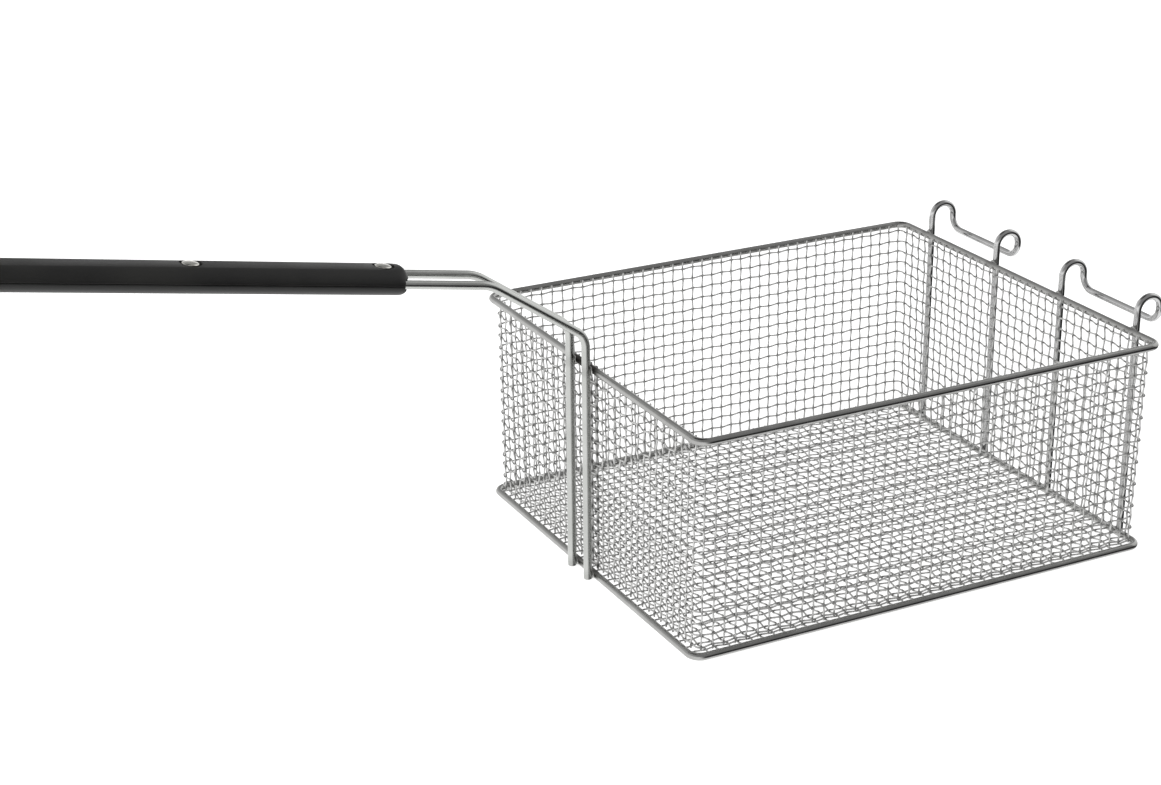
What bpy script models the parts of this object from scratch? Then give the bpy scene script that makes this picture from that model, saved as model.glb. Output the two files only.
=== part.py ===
"""Basket of a commercial deep fryer: a welded wire frame lined with woven wire cloth,
two double hooks on the back wall, and a bent rod handle with a riveted two-shell grip.

The handle leaves the basket towards -X and the hooks hang over its +X side.
The basket stands on z = 0, on the underside of its bottom frame wire.
"""

import math

import bmesh
import bpy
from mathutils import Matrix, Vector

MM = 0.001

# Basket, measured between wire centrelines
RIM_LENGTH = 338 * MM
RIM_WIDTH = 290 * MM
BASKET_DEPTH = 142 * MM
SIDE_TAPER = 3.5 * MM  # how far each long side leans in at the bottom
CORNER_RADIUS = 8 * MM

# Wire and rod diameters
RIM_WIRE = 4.8 * MM
FRAME_WIRE = 4.8 * MM
HOOK_WIRE = 4.6 * MM
ROD_WIRE = 5.5 * MM

# Woven cloth, held here as a plain sheet
CLOTH_SHEET = 1.2 * MM
CLOTH_OVER_RIM = 0.5 * MM  # how far the walls' upper edge stands above the rim's centreline

# Hooks, measured between centrelines and from the rim's centreline
HOOK_REACH = 18 * MM
HOOK_HEIGHT = 21.6 * MM
HOOK_BAR_HEIGHT = 2.2 * MM
HOOK_BAR_BEND = 10 * MM
HOOK_SPAN = 78.4 * MM  # between the two legs of one hook wire
HOOK_SPACING = 152 * MM  # between the middles of the two hook wires

# Handle rod: up the front wall, out over the rim, then along the grip
ROD_SPACING = 22.5 * MM
FIRST_BEND_RISE = 23.4 * MM  # above the rim's centreline
ARM_REACH = 63.7 * MM
ARM_RISE = 44 * MM
HANDLE_SLOPE = math.radians(10)
FIRST_BEND_RADIUS = 14 * MM
SECOND_BEND_RADIUS = 26 * MM

# Grip, measured along the handle from the second bend
GRIP_START = 53.5 * MM
GRIP_LENGTH = 265 * MM
GRIP_HEIGHT = 17.4 * MM
GRIP_EDGE_RADIUS = 3.5 * MM  # end rounding seen from the side
GRIP_CORNER_RADIUS = 8 * MM  # end rounding seen from above
GRIP_SIDE_WALL = 2 * MM  # plastic beside each leg of the rod
GRIP_END_WALL = 4.25 * MM  # plastic beyond the rod's hairpin

# Rivets
RIVET_COUNT = 3
RIVET_SHANK = 4.4 * MM
RIVET_TO_ROD = 1.55 * MM  # plastic between the last rivet and the hairpin
RIVET_HEAD = 10.2 * MM
RIVET_HEAD_RISE = 1.9 * MM
RIVET_HEAD_EDGE = 0.6 * MM  # upright part of the head's rim
RIVET_SEAT_MARGIN = 1.7 * MM  # flat recess round each head
RIVET_SEAT_DEPTH = 1.6 * MM

# Fits
GAP = 0.3 * MM  # between pieces that touch
END_RISE = 0.5 * MM  # cut wire ends stay this far off the ground
ROD_MOUTH = 1.2 * MM  # how much wider than the rod channel its mouth is
ROD_MOUTH_DEPTH = 4 * MM

# Facets
WIRE_SIDES = 12
ARC_STEP = math.radians(15)
OVAL_STEPS = 10  # along half of the grip's oval
CORNER_STEPS = 6  # along each rounded end of the grip
DOME_STEPS = 3
RIVET_SIDES = 20
SHARP_ANGLE = math.radians(40)
FULL_BEND = 0.48  # radius of a half-turn bend, as a share of its span

FRAME_LENGTH = RIM_LENGTH
FRAME_WIDTH = RIM_WIDTH - 2 * SIDE_TAPER
FRAME_Z = FRAME_WIRE / 2
RIM_Z = FRAME_Z + BASKET_DEPTH
THICKEST_WIRE = max(RIM_WIRE, FRAME_WIRE)
GRIP_WIDTH = ROD_SPACING + ROD_WIRE + 2 * GRIP_SIDE_WALL
RIVET_INSET = GRIP_END_WALL + ROD_WIRE + RIVET_TO_ROD + RIVET_SHANK / 2
UP = Vector((0, 0, 1))
ACROSS = Vector((0, 1, 0))


# ---------------------------------------------------------------- scene and materials


def clear_scene():
    for obj in list(bpy.data.objects):
        bpy.data.objects.remove(obj, do_unlink=True)


def make_material(name, colour, metallic, roughness):
    material = bpy.data.materials.new(name)
    material.use_nodes = True
    shader = material.node_tree.nodes["Principled BSDF"]
    shader.inputs["Base Color"].default_value = (*colour, 1)
    shader.inputs["Metallic"].default_value = metallic
    shader.inputs["Roughness"].default_value = roughness
    return material


def make_empty(name, parent=None):
    empty = bpy.data.objects.new(name, None)
    empty.parent = parent
    bpy.context.scene.collection.objects.link(empty)
    return empty


def add_mesh(name, bm, parent):
    bmesh.ops.recalc_face_normals(bm, faces=bm.faces)
    mesh = bpy.data.meshes.new(name)
    bm.to_mesh(mesh)
    bm.free()
    obj = bpy.data.objects.new(name, mesh)
    obj.parent = parent
    bpy.context.scene.collection.objects.link(obj)
    return obj


def make_piece(name, bm, material, parent):
    piece = add_mesh(name, bm, parent)
    piece.data.shade_smooth()
    piece.data.set_sharp_from_angle(angle=SHARP_ANGLE)
    piece.data.materials.append(material)
    return piece


def make_cutter(name, bm, parent):
    cutter = add_mesh(name, bm, parent)
    cutter.hide_render = True
    cutter.display_type = "WIRE"
    return cutter


def cut(obj, cutter):
    boolean = obj.modifiers.new(cutter.name, "BOOLEAN")
    boolean.operation = "DIFFERENCE"
    boolean.solver = "EXACT"
    boolean.object = cutter


# ---------------------------------------------------------------- wire paths and tubes


def rounded_corner(before, corner, after, radius):
    """Points of the arc that replaces a corner, its two tangent points included."""
    back = (before - corner).normalized()
    ahead = (after - corner).normalized()
    turn = math.pi - back.angle(ahead)
    middle = (back + ahead).normalized()
    centre = corner + middle * radius / math.cos(turn / 2)
    axis = ahead.cross(back).normalized()
    start = corner + back * radius * math.tan(turn / 2) - centre
    steps = max(2, round(turn / ARC_STEP))
    return [centre + Matrix.Rotation(turn * i / steps, 3, axis) @ start for i in range(steps + 1)]


def bent_path(corners, radii):
    """An open path through corners given as coordinates, each inner one rounded."""
    corners = [Vector(corner) for corner in corners]
    path = [corners[0]]
    for i, radius in enumerate(radii, start=1):
        path += rounded_corner(corners[i - 1], corners[i], corners[i + 1], radius)
    return path + [corners[-1]]


def rounded_rectangle(length, width, radius, z):
    """A closed path, as points in order, that starts in the middle of its +X side."""
    x = length / 2
    y = width / 2
    corners = [Vector((x, y, z)), Vector((-x, y, z)), Vector((-x, -y, z)), Vector((x, -y, z))]
    path = [Vector((x, 0, z))]
    for i, corner in enumerate(corners):
        path += rounded_corner(corners[i - 1], corner, corners[(i + 1) % 4], radius)
    return path


def ring_on_plane(ring, direction, centre, normal):
    """Each point of a ring slid along direction onto the plane through centre."""
    return [point - direction * ((point - centre).dot(normal) / direction.dot(normal)) for point in ring]


def tube(path, diameter, side, closed=False):
    """A round wire along a path, its flats outside the true circle and one of them facing side.

    A closed path starts within a straight run, so its first and last directions are the same.
    """
    count = len(path)
    runs = count if closed else count - 1
    directions = [(path[(i + 1) % count] - path[i]).normalized() for i in range(runs)]
    across = directions[0].cross(side).normalized()
    outward = across.cross(directions[0])
    reach = diameter / 2 / math.cos(math.pi / WIRE_SIDES)
    angles = [2 * math.pi * (i + 0.5) / WIRE_SIDES for i in range(WIRE_SIDES)]
    ring = [path[0] + (outward * math.cos(a) + across * math.sin(a)) * reach for a in angles]
    bm = bmesh.new()
    rings = []
    for i, point in enumerate(path):
        arriving = directions[max(i - 1, 0)]
        leaving = directions[min(i, runs - 1)]
        ring = ring_on_plane(ring, arriving, point, (arriving + leaving).normalized())
        rings.append([bm.verts.new(corner) for corner in ring])
    for i in range(runs):
        skin(bm, rings[i], rings[(i + 1) % count])
    if not closed:
        bm.faces.new(rings[0])
        bm.faces.new(reversed(rings[-1]))
    return bm


def skin(bm, first, second):
    """Quads between two closed rings of the same number of vertices."""
    for i, corner in enumerate(first):
        j = (i + 1) % len(first)
        bm.faces.new((corner, first[j], second[j], second[i]))


# ---------------------------------------------------------------- basket


def cloth_outline(width, inset, z):
    """The rounded rectangle inside frame wires this far apart, set in by a further distance."""
    reach = THICKEST_WIRE / 2 + GAP + inset
    return rounded_rectangle(FRAME_LENGTH - 2 * reach, width - 2 * reach, CORNER_RADIUS - reach, z)


def wall_cloth():
    """A band of even thickness inside both wires, open at the top and bottom."""
    bottom_z = FRAME_Z + CLOTH_SHEET / 2 + GAP
    top_z = RIM_Z + CLOTH_OVER_RIM
    lean = SIDE_TAPER / BASKET_DEPTH
    bm = bmesh.new()
    rings = []
    for inset, z in ((0, bottom_z), (0, top_z), (CLOTH_SHEET, top_z), (CLOTH_SHEET, bottom_z)):
        outline = cloth_outline(FRAME_WIDTH + 2 * lean * (z - FRAME_Z), inset, z)
        rings.append([bm.verts.new(point) for point in outline])
    for i, ring in enumerate(rings):
        skin(bm, rings[i - 1], ring)
    return bm


def bottom_cloth():
    """A flat plate across the foot of the walls, level with the frame wire's centreline."""
    bm = bmesh.new()
    rings = []
    for z in (FRAME_Z - CLOTH_SHEET / 2, FRAME_Z + CLOTH_SHEET / 2):
        rings.append([bm.verts.new(point) for point in cloth_outline(FRAME_WIDTH, 0, z)])
    skin(bm, rings[0], rings[1])
    bm.faces.new(rings[0])
    bm.faces.new(reversed(rings[1]))
    return bm


def hook_path(near_y, far_y):
    """Up the back wall, over the rim, along the bar and back down."""
    leg_x = RIM_LENGTH / 2 + (THICKEST_WIRE + HOOK_WIRE) / 2 + GAP
    bar_x = leg_x + HOOK_REACH
    bar_z = RIM_Z + HOOK_BAR_HEIGHT
    top_z = RIM_Z + HOOK_HEIGHT
    corners = [
        (leg_x, near_y, END_RISE),
        (leg_x, near_y, top_z),
        (bar_x, near_y, top_z),
        (bar_x, near_y, bar_z),
        (bar_x, far_y, bar_z),
        (bar_x, far_y, top_z),
        (leg_x, far_y, top_z),
        (leg_x, far_y, END_RISE),
    ]
    over = HOOK_REACH * FULL_BEND
    return bent_path(corners, [over, over, HOOK_BAR_BEND, HOOK_BAR_BEND, over, over])


# ---------------------------------------------------------------- handle


def second_bend():
    rod_x = -(RIM_LENGTH / 2 + (THICKEST_WIRE + ROD_WIRE) / 2 + GAP)
    return Vector((rod_x - ARM_REACH, 0, RIM_Z + FIRST_BEND_RISE + ARM_RISE))


def along_handle(distance, y):
    """A point on the handle's straight outer part, measured from the second bend."""
    ahead = Vector((-math.cos(HANDLE_SLOPE), 0, math.sin(HANDLE_SLOPE)))
    return second_bend() + ahead * distance + Vector((0, y, 0))


def hairpin_end():
    """How far the rod's centreline reaches into the grip."""
    return GRIP_LENGTH - GRIP_END_WALL - ROD_WIRE / 2


def rod_path():
    """One leg up, the hairpin inside the grip, and the other leg down."""
    half = ROD_SPACING / 2
    rod_x = second_bend().x + ARM_REACH
    first_z = RIM_Z + FIRST_BEND_RISE
    end = GRIP_START + hairpin_end()
    corners = [
        (rod_x, -half, END_RISE),
        (rod_x, -half, first_z),
        along_handle(0, -half),
        along_handle(end, -half),
        along_handle(end, half),
        along_handle(0, half),
        (rod_x, half, first_z),
        (rod_x, half, END_RISE),
    ]
    hairpin = ROD_SPACING * FULL_BEND
    bends = [FIRST_BEND_RADIUS, SECOND_BEND_RADIUS]
    return bent_path(corners, [*bends, hairpin, hairpin, *reversed(bends)])


def half_oval(across, height, x, floor_z):
    """The upper half of an oval section, closed along its flat side."""
    angles = [math.pi * i / OVAL_STEPS for i in range(OVAL_STEPS + 1)]
    return [Vector((x, across * math.cos(a), max(height * math.sin(a), floor_z))) for a in angles]


def drawn_in(distance, radius):
    """How far a rounding of this radius draws an outline in, at a distance from the end."""
    short = max(radius - distance, 0)
    return radius - math.sqrt(radius**2 - short**2)


def grip_shell_blank():
    """Half of the grip, above its parting plane, with both ends rounded over."""
    floor_z = GAP / 2
    turns = [math.pi / 2 * i / CORNER_STEPS for i in range(CORNER_STEPS + 1)]
    near_end = [GRIP_CORNER_RADIUS * (1 - math.cos(t)) for t in turns]
    stations = [(x, x) for x in near_end] + [(GRIP_LENGTH - x, x) for x in reversed(near_end)]
    bm = bmesh.new()
    rings = []
    for x, distance in stations:
        across = GRIP_WIDTH / 2 - drawn_in(distance, GRIP_CORNER_RADIUS)
        height = GRIP_HEIGHT / 2 - drawn_in(distance, GRIP_EDGE_RADIUS)
        section = half_oval(across, height, x, floor_z)
        rings.append([bm.verts.new(point) for point in section])
    for first, second in zip(rings, rings[1:]):
        skin(bm, first, second)
    bm.faces.new(rings[0])
    bm.faces.new(reversed(rings[-1]))
    return bm


def turned(profile, sides):
    """A solid of revolution about Z from (radius, z) points that start and end on the axis."""
    bm = bmesh.new()
    bottom = bm.verts.new((0, 0, profile[0][1]))
    top = bm.verts.new((0, 0, profile[-1][1]))
    rings = []
    for radius, z in profile[1:-1]:
        angles = [2 * math.pi * i / sides for i in range(sides)]
        rings.append([bm.verts.new((radius * math.cos(a), radius * math.sin(a), z)) for a in angles])
    for first, second in zip(rings, rings[1:]):
        skin(bm, first, second)
    for i in range(sides):
        j = (i + 1) % sides
        bm.faces.new((bottom, rings[0][j], rings[0][i]))
        bm.faces.new((top, rings[-1][i], rings[-1][j]))
    return bm


def mirrored(upper):
    """A profile made from its upper half, bottom first."""
    return [(radius, -z) for radius, z in reversed(upper)] + upper


def rivet():
    """Shank with a low domed head at both ends, about the grip's own centre plane."""
    seat = GRIP_HEIGHT / 2 - RIVET_SEAT_DEPTH + GAP
    head = RIVET_HEAD / 2
    dome_z = seat + RIVET_HEAD_EDGE
    dome_rise = RIVET_HEAD_RISE - RIVET_HEAD_EDGE
    turns = [math.pi / 2 * i / DOME_STEPS for i in range(DOME_STEPS)]
    upper = [(RIVET_SHANK / 2, seat), (head, seat)]
    upper += [(head * math.cos(t), dome_z + dome_rise * math.sin(t)) for t in turns]
    upper.append((0, seat + RIVET_HEAD_RISE))
    return turned(mirrored(upper), RIVET_SIDES)


def rivet_hole():
    """The shank's clearance hole, with the flat seat of a head at each end."""
    hole = RIVET_SHANK / 2 + GAP
    recess = RIVET_HEAD / 2 + RIVET_SEAT_MARGIN
    seat = GRIP_HEIGHT / 2 - RIVET_SEAT_DEPTH
    upper = [(hole, seat), (recess, seat), (recess, GRIP_HEIGHT), (0, GRIP_HEIGHT)]
    return turned(mirrored(upper), RIVET_SIDES)


def rod_channel():
    """The space of the rod's hairpin in the grip's own frame, open towards the basket."""
    half = ROD_SPACING / 2
    end = hairpin_end()
    bend = ROD_SPACING * FULL_BEND
    before = -GRIP_EDGE_RADIUS
    corners = [(before, -half, 0), (end, -half, 0), (end, half, 0), (before, half, 0)]
    return tube(bent_path(corners, [bend, bend]), ROD_WIRE + 2 * GAP, UP)


def rod_mouth(y):
    """The wider mouth of one leg's channel."""
    path = [Vector((-GRIP_EDGE_RADIUS, y, 0)), Vector((ROD_MOUTH_DEPTH, y, 0))]
    return tube(path, ROD_WIRE + 2 * GAP + 2 * ROD_MOUTH, UP)


def rivet_places():
    first = RIVET_INSET
    last = GRIP_LENGTH - RIVET_INSET
    return [first + (last - first) * i / (RIVET_COUNT - 1) for i in range(RIVET_COUNT)]


# ---------------------------------------------------------------- assembly


def build_basket(root, steel):
    rim = rounded_rectangle(RIM_LENGTH, RIM_WIDTH, CORNER_RADIUS, RIM_Z)
    frame = rounded_rectangle(FRAME_LENGTH, FRAME_WIDTH, CORNER_RADIUS, FRAME_Z)
    make_piece("top_rim_wire", tube(rim, RIM_WIRE, UP, closed=True), steel["rim"], root)
    make_piece("bottom_frame_wire", tube(frame, FRAME_WIRE, UP, closed=True), steel["frame"], root)
    make_piece("wall_mesh", wall_cloth(), steel["cloth"], root)
    make_piece("bottom_mesh", bottom_cloth(), steel["cloth"], root)


def build_hooks(root, steel):
    for name, side in (("hook_wire_left", 1), ("hook_wire_right", -1)):
        near_y = side * (HOOK_SPACING - HOOK_SPAN) / 2
        far_y = side * (HOOK_SPACING + HOOK_SPAN) / 2
        make_piece(name, tube(hook_path(near_y, far_y), HOOK_WIRE, ACROSS), steel["hook"], root)


def grip_cutters(grip_frame):
    """The channels of the rod and the holes of the rivets, the same above and below."""
    cutters = [make_cutter("cut_rod_channel", rod_channel(), grip_frame)]
    for name, side in (("cut_left_mouth", 1), ("cut_right_mouth", -1)):
        cutters.append(make_cutter(name, rod_mouth(side * ROD_SPACING / 2), grip_frame))
    for i, x in enumerate(rivet_places(), start=1):
        hole = make_cutter(f"cut_rivet_{i}", rivet_hole(), grip_frame)
        hole.location.x = x
        cutters.append(hole)
    return cutters


def build_handle(root, steel, plastic):
    make_piece("handle_rod", tube(rod_path(), ROD_WIRE, ACROSS), steel["rod"], root)
    grip_frame = make_empty("grip_frame", root)
    grip_frame.location = along_handle(GRIP_START, 0)
    grip_frame.rotation_euler = (0, -HANDLE_SLOPE, math.pi)
    cutters = grip_cutters(grip_frame)
    for name, turn in (("grip_upper", 0), ("grip_lower", math.pi)):
        shell = make_piece(name, grip_shell_blank(), plastic, grip_frame)
        shell.rotation_euler.x = turn
        for cutter in cutters:
            cut(shell, cutter)
    for i, x in enumerate(rivet_places(), start=1):
        piece = make_piece(f"grip_rivet_{i}", rivet(), steel["rivet"], grip_frame)
        piece.location.x = x


def centre_between_ends(root):
    """Moves the whole part so that the middle of its length lies at x = 0."""
    bpy.context.view_layer.update()
    corners = [
        (obj.matrix_world @ vertex.co).x
        for obj in bpy.data.objects
        if obj.type == "MESH" and not obj.hide_render
        for vertex in obj.data.vertices
    ]
    root.location.x = -(min(corners) + max(corners)) / 2


def build():
    clear_scene()
    steel = {
        "rim": make_material("rim_steel", (0.50, 0.50, 0.49), 1, 0.32),
        "frame": make_material("frame_steel", (0.50, 0.50, 0.49), 1, 0.32),
        "cloth": make_material("cloth_steel", (0.55, 0.55, 0.54), 1, 0.35),
        "hook": make_material("hook_steel", (0.60, 0.60, 0.60), 1, 0.18),
        "rod": make_material("rod_steel", (0.62, 0.63, 0.61), 1, 0.28),
        "rivet": make_material("rivet_steel", (0.72, 0.72, 0.68), 1, 0.25),
    }
    plastic = make_material("grip_plastic", (0.018, 0.018, 0.017), 0, 0.42)
    root = make_empty("basket_root")
    build_basket(root, steel)
    build_hooks(root, steel)
    build_handle(root, steel, plastic)
    centre_between_ends(root)


build()
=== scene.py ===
"""The fryer basket as it looks: woven cloth in a welded wire frame, hooks, bent rod and riveted grip.

Everything is in the part's own frame, in metres: the handle leaves towards -X and +Z is up.
"""

import math

import bmesh
import bpy
import numpy as np
from mathutils import Matrix, Vector, noise


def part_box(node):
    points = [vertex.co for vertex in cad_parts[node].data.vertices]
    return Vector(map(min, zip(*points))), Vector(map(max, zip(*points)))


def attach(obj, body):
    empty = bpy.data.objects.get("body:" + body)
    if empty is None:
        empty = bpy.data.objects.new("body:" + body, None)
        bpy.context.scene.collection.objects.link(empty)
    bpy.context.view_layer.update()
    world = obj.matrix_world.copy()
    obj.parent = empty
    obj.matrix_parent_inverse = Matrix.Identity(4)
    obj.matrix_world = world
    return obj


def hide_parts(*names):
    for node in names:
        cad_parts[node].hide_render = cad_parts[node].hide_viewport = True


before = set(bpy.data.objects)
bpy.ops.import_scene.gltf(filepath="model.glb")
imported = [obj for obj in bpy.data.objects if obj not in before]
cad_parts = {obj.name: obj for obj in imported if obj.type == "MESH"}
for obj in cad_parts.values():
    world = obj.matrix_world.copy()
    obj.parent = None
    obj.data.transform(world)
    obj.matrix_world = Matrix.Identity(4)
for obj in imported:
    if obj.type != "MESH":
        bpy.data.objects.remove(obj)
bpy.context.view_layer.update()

MM = 0.001

# Places read from the solids
rim_low, rim_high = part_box("top_rim_wire")
foot_low, foot_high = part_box("bottom_frame_wire")
RIM_WIRE = rim_high.z - rim_low.z
FRAME_WIRE = foot_high.z - foot_low.z
RIM_Z = (rim_low.z + rim_high.z) / 2
FRAME_Z = (foot_low.z + foot_high.z) / 2
BASKET_X = (rim_low.x + rim_high.x) / 2
RIM_LENGTH = rim_high.x - rim_low.x - RIM_WIRE
RIM_WIDTH = rim_high.y - rim_low.y - RIM_WIRE
FRAME_LENGTH = foot_high.x - foot_low.x - FRAME_WIRE
FRAME_WIDTH = foot_high.y - foot_low.y - FRAME_WIRE

# Wires and rod, as in the solids
CORNER_RADIUS = 8 * MM
HOOK_WIRE = 4.6 * MM
ROD_WIRE = 5.5 * MM
GAP = 0.3 * MM
END_RISE = 0.5 * MM
HOOK_REACH = 18 * MM
HOOK_HEIGHT = 21.6 * MM
HOOK_BAR_HEIGHT = 2.2 * MM
HOOK_BAR_BEND = 10 * MM
HOOK_SPAN = 78.4 * MM
HOOK_SPACING = 152 * MM
ROD_SPACING = 22.5 * MM
FIRST_BEND_RISE = 23.4 * MM
ARM_REACH = 63.7 * MM
ARM_RISE = 44 * MM
HANDLE_SLOPE = math.radians(10)
FIRST_BEND_RADIUS = 14 * MM
SECOND_BEND_RADIUS = 26 * MM
FULL_BEND = 0.48  # radius of a bend that turns back on itself, as a share of the space between its legs

# Grip and rivets, as in the solids
GRIP_START = 53.5 * MM
GRIP_LENGTH = 265 * MM
GRIP_HEIGHT = 17.4 * MM
GRIP_WIDTH = 32 * MM
GRIP_EDGE_RADIUS = 3.85 * MM  # a little over the solids', whose facets cut inside a true arc
GRIP_CORNER_RADIUS = 8 * MM
GRIP_END_WALL = 4.25 * MM
RIVET_INSET = 13.5 * MM
RIVET_COUNT = 3
RIVET_SHANK = 4.4 * MM
RIVET_HEAD = 10.2 * MM
RIVET_HEAD_RISE = 1.9 * MM
RIVET_HEAD_EDGE = 0.6 * MM
RIVET_SEAT = 13.6 * MM
RIVET_SEAT_DEPTH = 1.6 * MM
ROD_MOUTH = 1.2 * MM
ROD_MOUTH_DEPTH = 4 * MM

# Grip and rivets, finer than the solids
CHANNEL_STOP = 18 * MM  # the straight channels end this far before the grip's far end
RIVET_LIFT = 0.02 * MM  # of a head off its seat
RIVET_ROLL = 0.15 * MM  # the chamfer under a head
PARTING_EDGE = 0.2 * MM  # the rounding where the two shells meet
EASED_EDGE = 0.18 * MM
EASED_ANGLE = math.radians(50)

# Woven cloth
CLOTH_WIRE = 1.2 * MM
CLOTH_PITCH = 7.88 * MM
CLOTH_CLEARANCE = 0.03 * MM  # beyond one cloth wire, between a frame wire and the cloth's middle
CLOTH_REACH = RIM_WIRE / 2 + CLOTH_WIRE + CLOTH_CLEARANCE
CROSSING_GAP = 0.02 * MM  # between two cloth wires where they cross
UPRIGHT_CRIMP = 0.4 * MM  # the stiffer uprights are bent less than the wires woven through them
LEVEL_CRIMP = CLOTH_WIRE + CROSSING_GAP - UPRIGHT_CRIMP
CRIMP_KINK = 0.07  # share of the third harmonic, which straightens the run between two crossings
STEPS_PER_PITCH = 6
LEVEL_STEPS = 8
CLOTH_SIDES = 8
WALL_FOOT = FRAME_Z + 1.6 * MM
WALL_TOP = RIM_Z + 1.1 * MM
TOP_LEVEL = RIM_Z - 3.6 * MM
LEVEL_COUNT = 18
SEAM_PITCHES = 2.2  # how far the cloth laps over itself, behind the rods
SEAM_STEP = 1.08  # how far the lap's wires lie beside the others, in wire thicknesses
# Painted shade on the cloth wires, where they cross and where the cloth laps over itself
CROSSING_SHADE = 0.7
SEAM_SHADE = 0.45  # painted shade that the lap adds to it

# Welds: half the size of a bead along X and Y, and up and down on each of the two frame wires
BEAD_HALF_DEPTH = 1.05 * MM
BEAD_HALF_WIDTH = 3.1 * MM
RIM_BEAD_HALF_HEIGHT = 3.1 * MM
FOOT_BEAD_HALF_HEIGHT = 1.9 * MM
BEAD_LUMPS = 0.14  # how much the lumps change its size
BEAD_LUMP_SCALE = 1.8
BEAD_SEED_STEP = 7.3  # keeps two beads from being alike

# Heat marks of the welds, and painted shade on the rim behind the rods: how dark the wire is there, from 0
# to 1, and how far a mark reaches
ROD_HEAT = 0.9
ROD_HEAT_REACH = 9 * MM
HOOK_HEAT = 0.45
HOOK_HEAT_REACH = 6 * MM
OPEN_WIRE_HEAT = 0.35  # on the rod and the hook wires themselves
ROD_MARK_REACH = 7 * MM  # along the rod itself
ROD_SHADE = 1.8  # painted shade and dark reflection of the rods, on the rim behind them; it is over 1 so that it is evenly dark there
ROD_SHADE_Y = -4 * MM
ROD_SHADE_REACH = 22 * MM
DARKEST = 0.95  # what the heat marks and painted shade on a frame wire add up to, at most

# Directions
UP = Vector((0, 0, 1))
ACROSS = Vector((0, 1, 0))

# Fineness
WIRE_SIDES = 24
ARC_STEP = math.radians(6)
WIRE_STEP = 3 * MM
END_CHAMFER = 0.35 * MM
END_CHAMFER_SHARE = 0.4  # of a thin wire's radius, at most
STRIP_FILL = 0.8  # share of a map row that its strip of wire covers
END_FILL = 0.4  # share of a map cell from the middle to the rim of a wire's end
OVAL_STEPS = 33
END_STEPS = 17
DOME_STEPS = 11
RIVET_SIDES = 48
SEAT_SIDES = 64
CHANNEL_SIDES = 48

# Edges sharper than this many degrees stay sharp
WIRE_SHARP = 40
FINE_SHARP = 60
GRIP_SHARP = 35
RIVET_SHARP = 50

# Camera, from the middle of the bottom frame wire
CAMERA_AZIMUTH = math.radians(-26.722)
CAMERA_ELEVATION = math.radians(21.913)
CAMERA_ROLL = math.radians(-0.582)
CAMERA_DISTANCE = 1602.6 * MM
CAMERA_ASIDE = -155.14 * MM
CAMERA_ABOVE = 84 * MM
LENS = 72.84

# Studio
FLOOR_HALF = 12
FLOOR_DROP = 0.2 * MM
PAPER_GLOW = 0.75


# ---------------------------------------------------------------- paths


def rounded_corner(before, corner, after, radius):
    """Points of the arc that replaces a corner, its two tangent points included."""
    back = (before - corner).normalized()
    ahead = (after - corner).normalized()
    turn = math.pi - back.angle(ahead)
    middle = (back + ahead).normalized()
    centre = corner + middle * radius / math.cos(turn / 2)
    axis = ahead.cross(back).normalized()
    start = corner + back * radius * math.tan(turn / 2) - centre
    steps = max(2, round(turn / ARC_STEP))
    return [centre + Matrix.Rotation(turn * i / steps, 3, axis) @ start for i in range(steps + 1)]


def bent_path(corners, radii):
    """An open path through corners given as coordinates, each inner one rounded."""
    corners = [Vector(corner) for corner in corners]
    path = [corners[0]]
    for i, radius in enumerate(radii, start=1):
        path += rounded_corner(corners[i - 1], corners[i], corners[i + 1], radius)
    return path + [corners[-1]]


def rounded_rectangle(length, width, radius, z):
    """A closed path about the basket's middle that starts in the middle of its +X side."""
    x = length / 2
    y = width / 2
    corners = [Vector((x, y, z)), Vector((-x, y, z)), Vector((-x, -y, z)), Vector((x, -y, z))]
    path = [Vector((x, 0, z))]
    for i, corner in enumerate(corners):
        path += rounded_corner(corners[i - 1], corner, corners[(i + 1) % 4], radius)
    return [point + Vector((BASKET_X, 0, 0)) for point in path]


def hook_path(near_y, far_y):
    """Up the back wall, over the rim, along the bar and back down."""
    leg_x = BASKET_X + RIM_LENGTH / 2 + (RIM_WIRE + HOOK_WIRE) / 2 + GAP
    bar_x = leg_x + HOOK_REACH
    bar_z = RIM_Z + HOOK_BAR_HEIGHT
    top_z = RIM_Z + HOOK_HEIGHT
    corners = [
        (leg_x, near_y, END_RISE),
        (leg_x, near_y, top_z),
        (bar_x, near_y, top_z),
        (bar_x, near_y, bar_z),
        (bar_x, far_y, bar_z),
        (bar_x, far_y, top_z),
        (leg_x, far_y, top_z),
        (leg_x, far_y, END_RISE),
    ]
    over = HOOK_REACH * FULL_BEND
    return bent_path(corners, [over, over, HOOK_BAR_BEND, HOOK_BAR_BEND, over, over])


ROD_X = BASKET_X - RIM_LENGTH / 2 - (RIM_WIRE + ROD_WIRE) / 2 - GAP
SECOND_BEND = Vector((ROD_X - ARM_REACH, 0, RIM_Z + FIRST_BEND_RISE + ARM_RISE))
ALONG_HANDLE = Vector((-math.cos(HANDLE_SLOPE), 0, math.sin(HANDLE_SLOPE)))


def along_handle(distance, y):
    """A point on the handle's straight outer part, measured from the second bend."""
    return SECOND_BEND + ALONG_HANDLE * distance + Vector((0, y, 0))


def rod_path():
    """One leg up, the hairpin inside the grip, and the other leg down."""
    half = ROD_SPACING / 2
    first_z = RIM_Z + FIRST_BEND_RISE
    end = GRIP_START + GRIP_LENGTH - GRIP_END_WALL - ROD_WIRE / 2
    corners = [
        (ROD_X, -half, END_RISE),
        (ROD_X, -half, first_z),
        along_handle(0, -half),
        along_handle(end, -half),
        along_handle(end, half),
        along_handle(0, half),
        (ROD_X, half, first_z),
        (ROD_X, half, END_RISE),
    ]
    hairpin = ROD_SPACING * FULL_BEND
    bends = [FIRST_BEND_RADIUS, SECOND_BEND_RADIUS]
    return bent_path(corners, [*bends, hairpin, hairpin, *reversed(bends)])


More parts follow.
